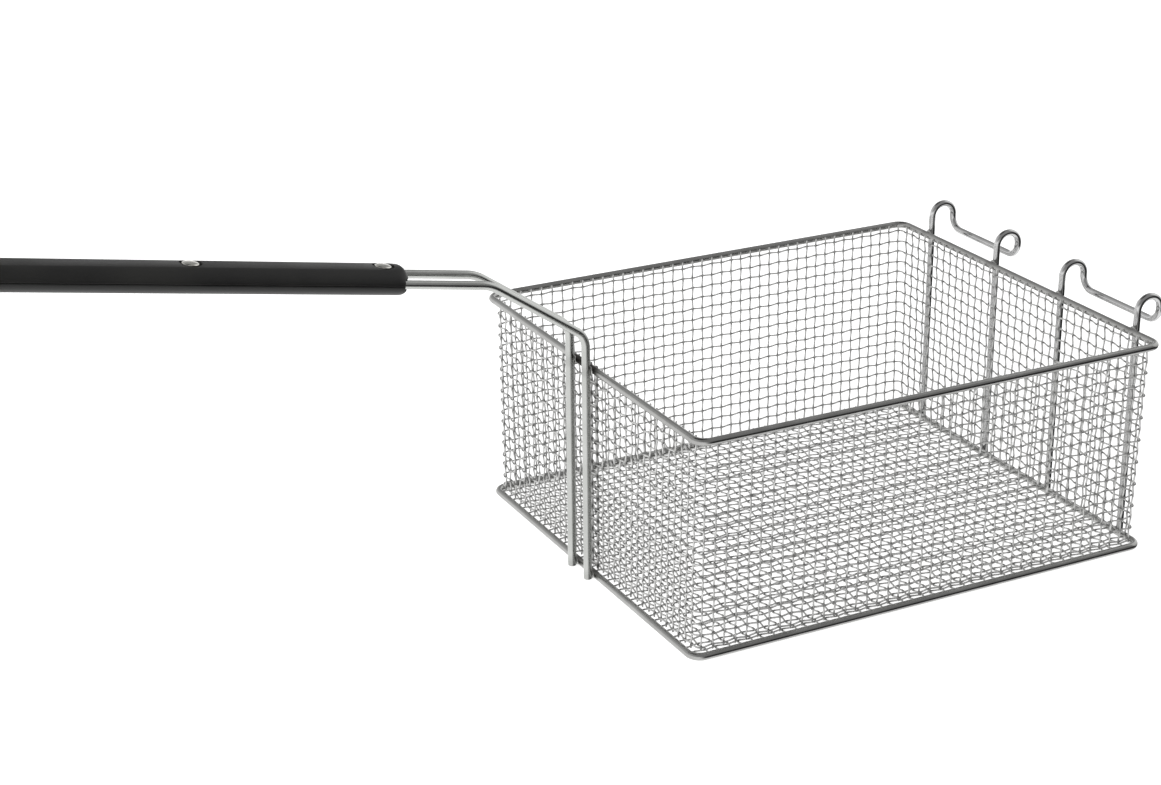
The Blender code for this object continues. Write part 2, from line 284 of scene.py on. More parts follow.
# ---------------------------------------------------------------- wires


def unit(vectors):
    return vectors / np.linalg.norm(vectors, axis=-1, keepdims=True)


def finer(path, closed):
    """The path as an array, with its long straight runs divided."""
    ends = list(path) + ([path[0]] if closed else [])
    points = []
    for start, end in zip(ends, ends[1:]):
        steps = max(1, math.ceil((end - start).length / WIRE_STEP))
        points += [start.lerp(end, i / steps) for i in range(steps)]
    if not closed:
        points.append(ends[-1])
    return np.array([tuple(point) for point in points])


def travel(path, closed):
    """Unit direction of travel at each point."""
    runs = unit(np.roll(path, -1, 0) - path)
    if not closed:
        runs[-1] = runs[-2]
    before = np.roll(runs, 1, 0)
    if not closed:
        before[0] = runs[0]
    return unit(runs + before)


def untwisted(ahead, side):
    """A sideways direction for each point, carried along the path without twist."""
    sides = []
    current = np.array(side, float)
    for direction in ahead:
        current = unit(current - direction * current.dot(direction))
        sides.append(current)
    return np.array(sides)


class Wires:
    """Round wires gathered into one mesh, each with its own strip of the map."""

    def __init__(self, diameter, sides):
        self.radius = diameter / 2
        self.sides = sides
        self.points = []
        self.faces = []
        self.cells = []  # per face: its cell of the map, and its place round the wire or -1 for an end
        self.along = []
        self.tone = []
        self.count = 0
        self.next_cell = 0

    def add(self, path, side, closed=False, tone=None):
        """Adds one wire. side is one direction, or one for each point. tone is a number for each point."""
        path = np.asarray(path, float)
        ahead = travel(path, closed)
        side = np.asarray(side, float)
        if side.ndim == 1:
            side = untwisted(ahead, side)
        side = unit(side - ahead * (side * ahead).sum(1, keepdims=True))
        other = np.cross(ahead, side)
        reach = np.full(len(path), self.radius)
        tone = np.zeros(len(path)) if tone is None else np.asarray(tone, float)
        if not closed:
            chamfer = min(END_CHAMFER, self.radius * END_CHAMFER_SHARE)
            inner = np.array([path[0] + ahead[0] * chamfer, path[-1] - ahead[-1] * chamfer])
            path = np.concatenate([path[:1], inner[:1], path[1:-1], inner[1:], path[-1:]])
            side = np.concatenate([side[:1], side[:1], side[1:-1], side[-1:], side[-1:]])
            other = np.concatenate([other[:1], other[:1], other[1:-1], other[-1:], other[-1:]])
            tone = np.concatenate([tone[:1], tone[:1], tone[1:-1], tone[-1:], tone[-1:]])
            reach = np.full(len(path), self.radius)
            reach[[0, -1]] = self.radius - chamfer
        turns = 2 * math.pi * np.arange(self.sides) / self.sides
        round_side = np.cos(turns)[None, :, None]
        round_other = np.sin(turns)[None, :, None]
        spokes = side[:, None] * round_side + other[:, None] * round_other
        rings = path[:, None] + spokes * reach[:, None, None]
        steps = np.linalg.norm(np.diff(path, axis=0), axis=1)
        distance = np.concatenate([[0], np.cumsum(steps)])
        self.points.append(rings.reshape(-1, 3))
        self.along.append(np.repeat(distance, self.sides))
        self.tone.append(np.repeat(tone, self.sides))
        self.join(len(path), closed)

    def join(self, rings, closed):
        """The faces between the rings just added, and the ends of an open wire."""
        sides = self.sides
        first = self.count
        corner = np.arange(sides)
        following = (corner + 1) % sides
        if not closed:
            self.faces.append(tuple(first + corner[::-1]))
            self.cells.append((self.next_cell, -1))
            self.next_cell += 1
        for ring in range(rings if closed else rings - 1):
            here = first + ring * sides
            there = first + (ring + 1) % rings * sides
            quads = np.stack([here + corner, here + following, there + following, there + corner], 1)
            self.faces += quads.tolist()
            self.cells += [(self.next_cell, int(c)) for c in corner]
            self.next_cell += 1
        if not closed:
            self.faces.append(tuple(first + (rings - 1) * sides + corner))
            self.cells.append((self.next_cell, -1))
            self.next_cell += 1
        self.count += rings * sides

    def map_places(self):
        """Map coordinates of each face corner: the wires laid in rows, one cell for each step."""
        girth = 2 * math.pi * self.radius
        step = np.median(np.diff(self.along[0][:: self.sides]))
        per_row = max(4, round(math.sqrt(self.next_cell * girth / STRIP_FILL / step)))
        rows = math.ceil(self.next_cell / per_row)
        places = []
        for cell, place in self.cells:
            left = cell % per_row / per_row
            low = cell // per_row / rows
            width = 1 / per_row
            height = STRIP_FILL / rows
            if place < 0:
                turns = [2 * math.pi * i / self.sides for i in range(self.sides)]
                x = left + width / 2
                y = low + height / 2
                x_reach = END_FILL * width
                y_reach = END_FILL * height
                places += [(x + x_reach * math.cos(t), y + y_reach * math.sin(t)) for t in turns]
                continue
            bottom = low + height * place / self.sides
            top = low + height * (place + 1) / self.sides
            places += [(left, bottom), (left, top), (left + width, top), (left + width, bottom)]
        return np.array(places)

    def build(self, name, material, sharp):
        mesh = bpy.data.meshes.new(name)
        mesh.from_pydata(np.concatenate(self.points), [], self.faces)
        layer = mesh.uv_layers.new(name="OFBake")
        layer.data.foreach_set("uv", self.map_places().ravel())
        along = mesh.attributes.new("along", "FLOAT", "POINT")
        along.data.foreach_set("value", np.concatenate(self.along).astype(np.float32))
        tone = mesh.attributes.new("tone", "FLOAT", "POINT")
        tone.data.foreach_set("value", np.concatenate(self.tone).astype(np.float32))
        return finished(name, mesh, material, sharp)


def finished(name, mesh, material, sharp):
    """An object of this mesh, smooth but for the edges sharper than this many degrees."""
    mesh.shade_smooth()
    mesh.set_sharp_from_angle(angle=math.radians(sharp))
    mesh.materials.append(material)
    obj = bpy.data.objects.new(name, mesh)
    bpy.context.scene.collection.objects.link(obj)
    return obj


def shown(obj, slot, *nodes):
    """Makes obj stand for these solids, as a rigid part of the basket."""
    if nodes:
        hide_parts(*nodes)
    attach(obj, "root")
    return obj


# ---------------------------------------------------------------- materials

# Scales of the noise: how many cells it has in a metre
CLOUDS = 55
SPECKS = 900
STEEL_GRAIN = 1500
WORN_PATCHES = 22
PLASTIC_GRAIN = 1400
PITS = 420
PAPER_FIBRE = 300

GRAIN_SLIDE = 0.02  # how far the steel's grain moves along X for each metre of wire
# the tint of the heat marks, also used for the painted shade on the rim behind the rods
HEAT_TINT_AND_SHADE = (0.035, 0.03, 0.026)
# the colour of the painted shade on the cloth wires
CLOTH_SHADE_TINT = (0.10, 0.10, 0.096)


class Shading:
    """A Principled material and short ways to add nodes to it."""

    def __init__(self, name):
        self.material = bpy.data.materials.new(name)
        self.material.use_nodes = True
        self.tree = self.material.node_tree
        self.shader = self.tree.nodes["Principled BSDF"]

    def node(self, kind, **settings):
        node = self.tree.nodes.new(kind)
        for name, value in settings.items():
            setattr(node, name, value)
        return node

    def link(self, output, target):
        self.tree.links.new(output, target)

    def feed(self, node, **values):
        """Sets or links inputs by name, with _ for a space."""
        for name, value in values.items():
            target = node.inputs[name.replace("_", " ")]
            if isinstance(value, bpy.types.NodeSocket):
                self.link(value, target)
            else:
                target.default_value = value
        return node

    def place(self):
        return self.node("ShaderNodeTexCoord").outputs["Object"]

    def number(self, name):
        node = self.node("ShaderNodeAttribute", attribute_name=name)
        return node.outputs["Fac"]

    def grain(self, vector, scale, detail=3.0, roughness=0.5):
        node = self.node("ShaderNodeTexNoise")
        self.feed(node, Vector=vector, Scale=scale, Detail=detail, Roughness=roughness)
        return node.outputs["Fac"]

    def between(self, value, low, high, from_low=0.3, from_high=0.7):
        """The value moved from one range to another, at first the range where most noise lies."""
        node = self.node("ShaderNodeMapRange")
        self.feed(node, Value=value, From_Min=from_low, From_Max=from_high, To_Min=low, To_Max=high)
        return node.outputs["Result"]

    def maths(self, operation, first, second):
        node = self.node("ShaderNodeMath", operation=operation)
        for i, value in enumerate((first, second)):
            if isinstance(value, bpy.types.NodeSocket):
                self.link(value, node.inputs[i])
            else:
                node.inputs[i].default_value = value
        return node.outputs[0]

    def blend(self, share, first, second):
        """A colour between two colours, each given or from a socket."""
        node = self.node("ShaderNodeMix", data_type="RGBA")
        targets = node.inputs[0], node.inputs[6], node.inputs[7]
        for target, value in zip(targets, (share, first, second)):
            if isinstance(value, bpy.types.NodeSocket):
                self.link(value, target)
            elif target.type == "RGBA":
                target.default_value = (*value, 1)
            else:
                target.default_value = value
        return node.outputs[2]

    def bump(self, height, depth, strength):
        node = self.node("ShaderNodeBump")
        self.feed(node, Height=height, Distance=depth, Strength=strength)
        self.link(node.outputs["Normal"], self.shader.inputs["Normal"])


def plated(name, light, dark, smooth, rough, tint, grain_depth, metallic=1):
    """Plated or polished steel wire: cloudy colour, fine grain, and tint where the tone is high; the tone
    holds heat marks and painted shade.
    """
    look = Shading(name)
    look.shader.inputs["Metallic"].default_value = metallic
    place = look.place()
    cloud = look.grain(place, CLOUDS, 4)
    speck = look.grain(place, SPECKS, 2)
    slide = look.node("ShaderNodeCombineXYZ")
    look.feed(slide, X=look.maths("MULTIPLY", look.number("along"), GRAIN_SLIDE))
    moved = look.node("ShaderNodeVectorMath", operation="ADD")
    look.link(place, moved.inputs[0])
    look.link(slide.outputs[0], moved.inputs[1])
    fine = look.grain(moved.outputs[0], STEEL_GRAIN, 2)
    colour = look.blend(look.between(cloud, 0, 1), dark, light)
    colour = look.blend(look.between(speck, 0, 0.25, 0.5, 0.8), colour, dark)
    tone = look.number("tone")
    look.feed(look.shader, Base_Color=look.blend(tone, colour, tint))
    uneven = look.maths("ADD", look.maths("MULTIPLY", fine, 0.5), look.maths("MULTIPLY", cloud, 0.5))
    polish = look.between(uneven, smooth, rough)
    look.feed(look.shader, Roughness=look.maths("ADD", polish, look.maths("MULTIPLY", tone, 0.2)))
    look.bump(look.maths("ADD", fine, speck), grain_depth, 0.5)
    return look.material


def moulded_plastic():
    """Black plastic with a fine moulded grain, worn slightly shiny in broad patches."""
    look = Shading("grip_plastic")
    place = look.place()
    wear = look.grain(place, WORN_PATCHES, 3)
    fine = look.grain(place, PLASTIC_GRAIN, 3, 0.6)
    pits = look.grain(place, PITS, 2)
    colour = look.blend(look.between(wear, 0, 1), (0.006, 0.006, 0.006), (0.012, 0.012, 0.011))
    colour = look.blend(look.between(fine, 0, 0.4, 0.5, 0.8), colour, (0.02, 0.02, 0.019))
    look.feed(look.shader, Base_Color=colour)
    look.shader.inputs["Specular IOR Level"].default_value = 0.4
    uneven = look.maths("ADD", look.maths("MULTIPLY", wear, 0.6), look.maths("MULTIPLY", fine, 0.4))
    look.feed(look.shader, Roughness=look.between(uneven, 0.34, 0.52))
    look.bump(look.maths("ADD", fine, look.maths("MULTIPLY", pits, 0.6)), 0.08 * MM, 0.6)
    return look.material


def floor_paper():
    look = Shading("studio_paper")
    fibre = look.grain(look.place(), PAPER_FIBRE, 3)
    colour = look.blend(look.between(fibre, 0, 1), (0.80, 0.80, 0.80), (0.82, 0.82, 0.82))
    look.feed(look.shader, Base_Color=colour)
    look.shader.inputs["Roughness"].default_value = 0.9
    look.shader.inputs["Specular IOR Level"].default_value = 0.1
    look.shader.inputs["Emission Color"].default_value = (1, 1, 1, 1)
    look.shader.inputs["Emission Strength"].default_value = PAPER_GLOW
    return look.material


# ---------------------------------------------------------------- frame, hooks and rod


def near(points, spots, reach):
    """1 at a spot, falling smoothly to 0 at a distance of reach from the nearest spot."""
    points = np.asarray(points)
    nearest = np.min([np.linalg.norm(points - np.array(spot), axis=1) for spot in spots], axis=0)
    share = np.clip(1 - nearest / reach, 0, 1)
    return share * share * (3 - 2 * share)


def rod_welds():
    x = ROD_X + ROD_WIRE / 2 + GAP / 2
    y = ROD_SPACING / 2
    return [Vector((x, side * y, z)) for side in (1, -1) for z in (RIM_Z, FRAME_Z)]


def hook_welds():
    x = BASKET_X + RIM_LENGTH / 2 + RIM_WIRE / 2 + GAP / 2
    spread = (HOOK_SPACING - HOOK_SPAN) / 2, (HOOK_SPACING + HOOK_SPAN) / 2
    return [Vector((x, side * y, z)) for side in (1, -1) for y in spread for z in (RIM_Z, FRAME_Z)]


def make_ring(name, length, width, z, wire, material):
    path = finer(rounded_rectangle(length, width, CORNER_RADIUS, z), True)
    rod_shade_spot = Vector((BASKET_X - RIM_LENGTH / 2, ROD_SHADE_Y, RIM_Z))
    marks_and_shade = ROD_HEAT * near(path, rod_welds(), ROD_HEAT_REACH)
    marks_and_shade += HOOK_HEAT * near(path, hook_welds(), HOOK_HEAT_REACH)
    # Painted shade: the rim is darkened behind the rods, where they shade it and show in it as a dark
    # reflection
    marks_and_shade += ROD_SHADE * near(path, [rod_shade_spot], ROD_SHADE_REACH)
    wires = Wires(wire, WIRE_SIDES)
    wires.add(path, UP, True, np.minimum(marks_and_shade, DARKEST))
    shown(wires.build(name + "_bent", material, WIRE_SHARP), "frame_wire", name)


def make_open_wire(name, path, wire, material, slot, welds, heat_reach):
    path = finer(path, False)
    wires = Wires(wire, WIRE_SIDES)
    wires.add(path, ACROSS, False, OPEN_WIRE_HEAT * near(path, welds, heat_reach))
    shown(wires.build(name + "_bent", material, WIRE_SHARP), slot, name)


def weld_bead(bm, centre, size, seed):
    """A lumpy flat bead between two crossing wires, thin along X."""
    made = bmesh.ops.create_icosphere(bm, subdivisions=3, radius=1)
    for vertex in made["verts"]:
        swell = 1 + BEAD_LUMPS * noise.noise(vertex.co * BEAD_LUMP_SCALE + Vector((seed, 0, 0)))
        vertex.co = centre + Vector(a * b * swell for a, b in zip(vertex.co, size))


def make_welds(material):
    bm = bmesh.new()
    for i, centre in enumerate(rod_welds() + hook_welds()):
        height = RIM_BEAD_HALF_HEIGHT if centre.z > FRAME_Z else FOOT_BEAD_HALF_HEIGHT
        weld_bead(bm, centre, Vector((BEAD_HALF_DEPTH, BEAD_HALF_WIDTH, height)), i * BEAD_SEED_STEP)
    mesh = bpy.data.meshes.new("weld_beads")
    bm.to_mesh(mesh)
    bm.free()
    shown(finished("weld_beads", mesh, material, FINE_SHARP), "frame_wire")


# ---------------------------------------------------------------- woven cloth


class Wall:
    """The middle surface of the wall cloth, by distance round it and height."""

    def __init__(self):
        self.radius = CORNER_RADIUS - CLOTH_REACH
        self.half_x = RIM_LENGTH / 2 - CLOTH_REACH - self.radius
        half_y = self.half_y(RIM_Z)
        long_run = 2 * self.half_x
        short_run = 2 * half_y
        turn = math.pi / 2 * self.radius
        runs = [0, half_y, turn, long_run, turn, short_run, turn, long_run, turn, half_y]
        self.knots = np.cumsum(runs)
        self.centre_x = np.array([1, 1, 1, -1, -1, -1, -1, 1, 1, 1]) * self.half_x
        self.centre_y = np.array([0, 1, 1, 1, 1, -1, -1, -1, -1, 0])
        self.angle = np.array([0, 0, 1, 1, 2, 2, 3, 3, 4, 4]) * math.pi / 2
        self.girth = self.knots[-1]
        self.count = 2 * round(self.girth / CLOTH_PITCH / 2)
        self.pitch = self.girth / self.count

    def half_y(self, z):
        """Half of the straight part of the short sides at this height."""
        share = (z - FRAME_Z) / (RIM_Z - FRAME_Z)
        return (FRAME_WIDTH + (RIM_WIDTH - FRAME_WIDTH) * share) / 2 - CLOTH_REACH - self.radius

    def normal(self, distance):
        angle = np.interp(distance, self.knots, self.angle)
        return np.stack([np.cos(angle), np.sin(angle), np.zeros_like(angle)], -1)

    def point(self, distance, z, out):
        normal = self.normal(distance)
        x = BASKET_X + np.interp(distance, self.knots, self.centre_x)
        y = np.interp(distance, self.knots, self.centre_y) * self.half_y(z)
        return np.stack([x, y, z + np.zeros_like(x)], -1) + normal * (self.radius + out)[..., None]


def crimp(phase, height):
    """How far a crimped wire stands out from the cloth's middle, furthest at an even crossing."""
    angle = math.pi * phase
    return height * (np.cos(angle) + CRIMP_KINK * np.cos(3 * angle)) / (1 + CRIMP_KINK)


def painted_crossing_shade(phase):
    """How much painted shade a cloth wire gets, which also makes it a little rougher: most where another
    wire crosses it.
    """
    return CROSSING_SHADE * np.abs(np.cos(math.pi * phase)) ** 6


def make_uprights(wall, material):
    """The walls' upright wires, one piece for each side of the basket."""
    rows = np.linspace(WALL_FOOT, WALL_TOP, STEPS_PER_PITCH * LEVEL_COUNT + 1)
    phase = (TOP_LEVEL - rows) / CLOTH_PITCH
    corners = (wall.knots[1:8:2] + wall.knots[2:9:2]) / 2  # the middles of the four rounded corners
    names = ["left", "handle_end", "right", "hook_end"]
    for side, name in enumerate(names, start=1):
        wires = Wires(CLOTH_WIRE, CLOTH_SIDES)
        for i in range(wall.count):
            distance = i * wall.pitch
            if np.searchsorted(corners, distance) % 4 != side % 4:
                continue
            across = np.full(len(rows), distance)
            sign = -1 if i % 2 == 0 else 1
            points = wall.point(across, rows, sign * crimp(phase, UPRIGHT_CRIMP))
            wires.add(points, wall.normal(across), False, painted_crossing_shade(phase))
        shown(wires.build("wall_uprights_" + name, material, FINE_SHARP), "wire_cloth", "wall_mesh")


def make_levels(wall, material):
    """The walls' level wires, closed loops in two pieces."""
    steps = wall.count * LEVEL_STEPS
    distance = np.arange(steps) / LEVEL_STEPS * wall.pitch
    phase = distance / wall.pitch
    half = LEVEL_COUNT // 2
    for name, first in (("upper", 0), ("lower", half)):
        wires = Wires(CLOTH_WIRE, CLOTH_SIDES)
        for level in range(first, first + half):
            sign = 1 if level % 2 == 0 else -1
            z = TOP_LEVEL - level * CLOTH_PITCH
            points = wall.point(distance, np.full(steps, z), sign * crimp(phase, LEVEL_CRIMP))
            wires.add(points, wall.normal(distance), True, painted_crossing_shade(phase))
        shown(wires.build("wall_levels_" + name, material, FINE_SHARP), "wire_cloth", "wall_mesh")


def make_seam(wall, material):
    """Where the wall cloth laps over itself, in the middle of the handle end."""
    wires = Wires(CLOTH_WIRE, CLOTH_SIDES)
    middle = wall.girth / 2
    beside = SEAM_STEP * CLOTH_WIRE
    half = SEAM_PITCHES / 2
    phase = np.linspace(-half, half, round(SEAM_PITCHES * LEVEL_STEPS) + 1)
    flip = 1 if wall.count // 2 % 2 == 0 else -1
    for level in range(LEVEL_COUNT):
        sign = flip if level % 2 == 0 else -flip
        distance = middle + phase * wall.pitch
        z = np.full(len(phase), TOP_LEVEL - level * CLOTH_PITCH - beside)
        points = wall.point(distance, z, sign * crimp(phase, LEVEL_CRIMP))
        wires.add(points, wall.normal(distance), False, np.minimum(painted_crossing_shade(phase) + SEAM_SHADE, 1))
    rows = np.linspace(WALL_FOOT, WALL_TOP, STEPS_PER_PITCH * LEVEL_COUNT + 1)
    phase = (TOP_LEVEL - rows) / CLOTH_PITCH
    for i in (-1, 0, 1):
        distance = np.full(len(rows), middle + i * wall.pitch + beside)
        sign = -flip if i % 2 == 0 else flip
        points = wall.point(distance, rows, sign * crimp(phase, UPRIGHT_CRIMP))
        wires.add(points, wall.normal(distance), False, np.minimum(painted_crossing_shade(phase) + SEAM_SHADE, 1))
    shown(wires.build("wall_seam", material, FINE_SHARP), "wire_cloth", "wall_mesh")


def reach_at(offset, half_length, half_width, radius):
    """How far a bottom wire at this offset runs before it meets the frame."""
    beyond = abs(offset) - (half_width - radius)
    if beyond <= 0:
        return half_length
    return half_length - radius + math.sqrt(max(radius**2 - beyond**2, 0))


def make_bottom(material):
    """The two sets of wires of the bottom cloth."""
    half_x = FRAME_LENGTH / 2 - FRAME_WIRE / 2
    half_y = FRAME_WIDTH / 2 - FRAME_WIRE / 2
    radius = CORNER_RADIUS - FRAME_WIRE / 2
    for name, along, half_run, half_spread, height, first_sign in (
        ("lengthwise", Vector((1, 0, 0)), half_x, half_y, UPRIGHT_CRIMP, 1),
        ("crosswise", Vector((0, 1, 0)), half_y, half_x, LEVEL_CRIMP, -1),
    ):
        across = Vector((along.y, along.x, 0))
        spread = int((half_spread - CLOTH_WIRE) / CLOTH_PITCH)
        wires = Wires(CLOTH_WIRE, CLOTH_SIDES)
        for i in range(-spread, spread + 1):
            offset = i * CLOTH_PITCH
            reach = reach_at(offset, half_run, half_spread, radius)
            steps = round(2 * reach / CLOTH_PITCH * STEPS_PER_PITCH)
            run = np.linspace(-reach, reach, steps + 1)
            phase = run / CLOTH_PITCH
            sign = first_sign if i % 2 == 0 else -first_sign
            points = np.array(along)[None] * run[:, None] + np.array(across)[None] * offset
            points[:, 0] += BASKET_X
            points[:, 2] = FRAME_Z + sign * crimp(phase, height)
            wires.add(points, UP, False, painted_crossing_shade(phase))
        shown(wires.build("bottom_" + name, material, FINE_SHARP), "wire_cloth", "bottom_mesh")


# ---------------------------------------------------------------- grip and rivets


def grip_frame():
    """Where the grip's own frame lies: X along the grip away from the basket, Z out of its top."""
    turn = Matrix.Rotation(math.pi, 4, "Z") @ Matrix.Rotation(-HANDLE_SLOPE, 4, "Y")
    return Matrix.Translation(along_handle(GRIP_START, 0)) @ turn


def skin(bm, first, second):
    """Quads between two closed rings of the same number of vertices."""
    for i, corner in enumerate(first):
        j = (i + 1) % len(first)
        bm.faces.new((corner, first[j], second[j], second[i]))


def half_oval(across, height, x, floor_z, edge):
    """The upper half of an oval section, its two lower corners slightly rounded."""
    first = math.asin(min(1, (floor_z + edge) / height))
    angles = np.linspace(first, math.pi - first, OVAL_STEPS)
    side = across * math.cos(first)
    rounding = (0, 0.5, 1.0)
    corner = [(side - edge * (1 - math.sin(t)), floor_z + edge * (1 - math.cos(t))) for t in rounding]
    oval = [(across * math.cos(a), height * math.sin(a)) for a in angles]
    section = corner + oval + [(-y, z) for y, z in reversed(corner)]
    return [Vector((x, y, z)) for y, z in section]


def drawn_in(distance, radius):
    """How far a rounding of this radius draws an outline in, at a distance from the end."""
    short = max(radius - distance, 0)
    return radius - math.sqrt(radius**2 - short**2)


def shell_blank():
    """Half of the grip above its parting plane, with both ends rounded over."""
    turns = np.linspace(0, math.pi / 2, END_STEPS)
    near_end = [GRIP_CORNER_RADIUS * (1 - math.cos(t)) for t in turns]
    stations = [(x, x) for x in near_end] + [(GRIP_LENGTH - x, x) for x in reversed(near_end)]
    bm = bmesh.new()
    rings = []
    for x, distance in stations:
        across = GRIP_WIDTH / 2 - drawn_in(distance, GRIP_CORNER_RADIUS)
        height = GRIP_HEIGHT / 2 - drawn_in(distance, GRIP_EDGE_RADIUS)
        section = half_oval(across, height, x, GAP / 2, PARTING_EDGE)
        rings.append([bm.verts.new(point) for point in section])
    for first, second in zip(rings, rings[1:]):
        skin(bm, first, second)
    bm.faces.new(rings[0])
    bm.faces.new(reversed(rings[-1]))
    return bm


def turned(profile, sides):
    """A solid of revolution about Z from (radius, z) points that start and end on the axis."""
    bm = bmesh.new()
    bottom = bm.verts.new((0, 0, profile[0][1]))
    top = bm.verts.new((0, 0, profile[-1][1]))
    rings = []
    for radius, z in profile[1:-1]:
        angles = [2 * math.pi * i / sides for i in range(sides)]
        rings.append([bm.verts.new((radius * math.cos(a), radius * math.sin(a), z)) for a in angles])
    for first, second in zip(rings, rings[1:]):
        skin(bm, first, second)
    for i in range(sides):
        j = (i + 1) % sides
        bm.faces.new((bottom, rings[0][j], rings[0][i]))
        bm.faces.new((top, rings[-1][i], rings[-1][j]))
    return bm


def mirrored(upper):
    """A profile made from its upper half, bottom first."""
    return [(radius, -z) for radius, z in reversed(upper)] + upper


def rivet_profile():
    """A low dome with a rolled edge, on a shank, with the same at its other end."""
    seat = GRIP_HEIGHT / 2 - RIVET_SEAT_DEPTH + RIVET_LIFT
    head = RIVET_HEAD / 2
    top = GRIP_HEIGHT / 2 - RIVET_SEAT_DEPTH + GAP + RIVET_HEAD_RISE
    edge_z = top - (RIVET_HEAD_RISE - RIVET_HEAD_EDGE)
    turns = np.linspace(0, math.pi / 2, DOME_STEPS)[:-1]
    upper = [(RIVET_SHANK / 2, seat), (head - RIVET_ROLL, seat), (head, seat + RIVET_ROLL)]
    upper += [(head * math.cos(t), edge_z + (top - edge_z) * math.sin(t)) for t in turns]
    upper.append((0, top))
    return mirrored(upper)


def seat_profile():
    """The shank's hole, with the flat seat of a head at each end."""
    hole = RIVET_SHANK / 2 + GAP
    recess = RIVET_SEAT / 2
    seat = GRIP_HEIGHT / 2 - RIVET_SEAT_DEPTH
    upper = [(hole, seat), (recess, seat), (recess, GRIP_HEIGHT), (0, GRIP_HEIGHT)]
    return mirrored(upper)


def rod_space(diameter, start, end):
    """The room of both legs of the rod inside the grip, as two straight rods."""
    bm = bmesh.new()
    for y in (ROD_SPACING / 2, -ROD_SPACING / 2):
        middle = Matrix.Translation(((start + end) / 2, y, 0)) @ Matrix.Rotation(math.pi / 2, 4, "Y")
        bmesh.ops.create_cone(
            bm,
            cap_ends=True,
            segments=CHANNEL_SIDES,
            radius1=diameter / 2,
            radius2=diameter / 2,
            depth=end - start,
            matrix=middle,
        )
    return bm


def as_object(name, bm):
    bmesh.ops.recalc_face_normals(bm, faces=bm.faces)
    mesh = bpy.data.meshes.new(name)
    bm.to_mesh(mesh)
    bm.free()
    obj = bpy.data.objects.new(name, mesh)
    bpy.context.scene.collection.objects.link(obj)
    return obj


def rivet_places():
    first = RIVET_INSET
    last = GRIP_LENGTH - RIVET_INSET
    return [first + (last - first) * i / (RIVET_COUNT - 1) for i in range(RIVET_COUNT)]


def carved(blank, cutters):
    """The mesh of a blank with the cutters taken out of it and its new edges eased."""
    for cutter in cutters:
        modifier = blank.modifiers.new(cutter.name, "BOOLEAN")
        modifier.operation = "DIFFERENCE"
        modifier.solver = "EXACT"
        modifier.object = cutter
    ease = blank.modifiers.new("ease", "BEVEL")
    ease.width = EASED_EDGE
    ease.segments = 2
    ease.limit_method = "ANGLE"
    ease.angle_limit = EASED_ANGLE
    graph = bpy.context.evaluated_depsgraph_get()
    return bpy.data.meshes.new_from_object(blank.evaluated_get(graph))


def make_grip(plastic, steel):
    place = grip_frame()
    channel = ROD_WIRE + 2 * GAP
    mouth = channel + 2 * ROD_MOUTH
    before = -GRIP_EDGE_RADIUS
    cutters = [
        as_object("cut_channel", rod_space(channel, before, GRIP_LENGTH - CHANNEL_STOP)),
        as_object("cut_mouth", rod_space(mouth, before, ROD_MOUTH_DEPTH)),
    ]
    for i, x in enumerate(rivet_places(), start=1):
        hole = as_object(f"cut_seat_{i}", turned(seat_profile(), SEAT_SIDES))
        hole.location.x = x
        cutters.append(hole)
    for name, flip in (("grip_upper", 0), ("grip_lower", math.pi)):
        blank = as_object(name + "_blank", shell_blank())
        blank.rotation_euler.x = flip
        bpy.context.view_layer.update()
        mesh = carved(blank, cutters)
        mesh.transform(place @ Matrix.Rotation(flip, 4, "X"))
        bpy.data.objects.remove(blank)
        shown(finished(name + "_moulded", mesh, plastic, GRIP_SHARP), "grip", name)
    for cutter in cutters:
        bpy.data.objects.remove(cutter)
    for i, x in enumerate(rivet_places(), start=1):
        name = f"grip_rivet_{i}"
        piece = as_object(name + "_turned", turned(rivet_profile(), RIVET_SIDES))
        mesh = piece.data
        mesh.transform(place @ Matrix.Translation((x, 0, 0)))
        bpy.data.objects.remove(piece)
        shown(finished(name + "_turned", mesh, steel, RIVET_SHARP), "rivet", name)


# ---------------------------------------------------------------- studio


def make_floor(material):
    mesh = bpy.data.meshes.new("studio_floor")
    half = FLOOR_HALF
    corners = [(-half, -half, 0), (half, -half, 0), (half, half, 0), (-half, half, 0)]
    mesh.from_pydata(corners, [], [(0, 1, 2, 3)])
    floor = bpy.data.objects.new("studio_floor", mesh)
    floor.location.z = -FLOOR_DROP
    floor.visible_glossy = False
    mesh.materials.append(material)
    bpy.context.scene.collection.objects.link(floor)


def make_light(name, place, target, size, watts):
    """A softbox, which the metal doesn't mirror: what it mirrors is the room."""
    light = bpy.data.lights.new(name, "AREA")
    light.shape = "RECTANGLE"
    light.size, light.size_y = size
    light.energy = watts
    obj = bpy.data.objects.new(name, light)
    obj.location = place
    obj.rotation_euler = (Vector(target) - Vector(place)).to_track_quat("-Z", "Y").to_euler()
    obj.visible_glossy = False
    bpy.context.scene.collection.objects.link(obj)


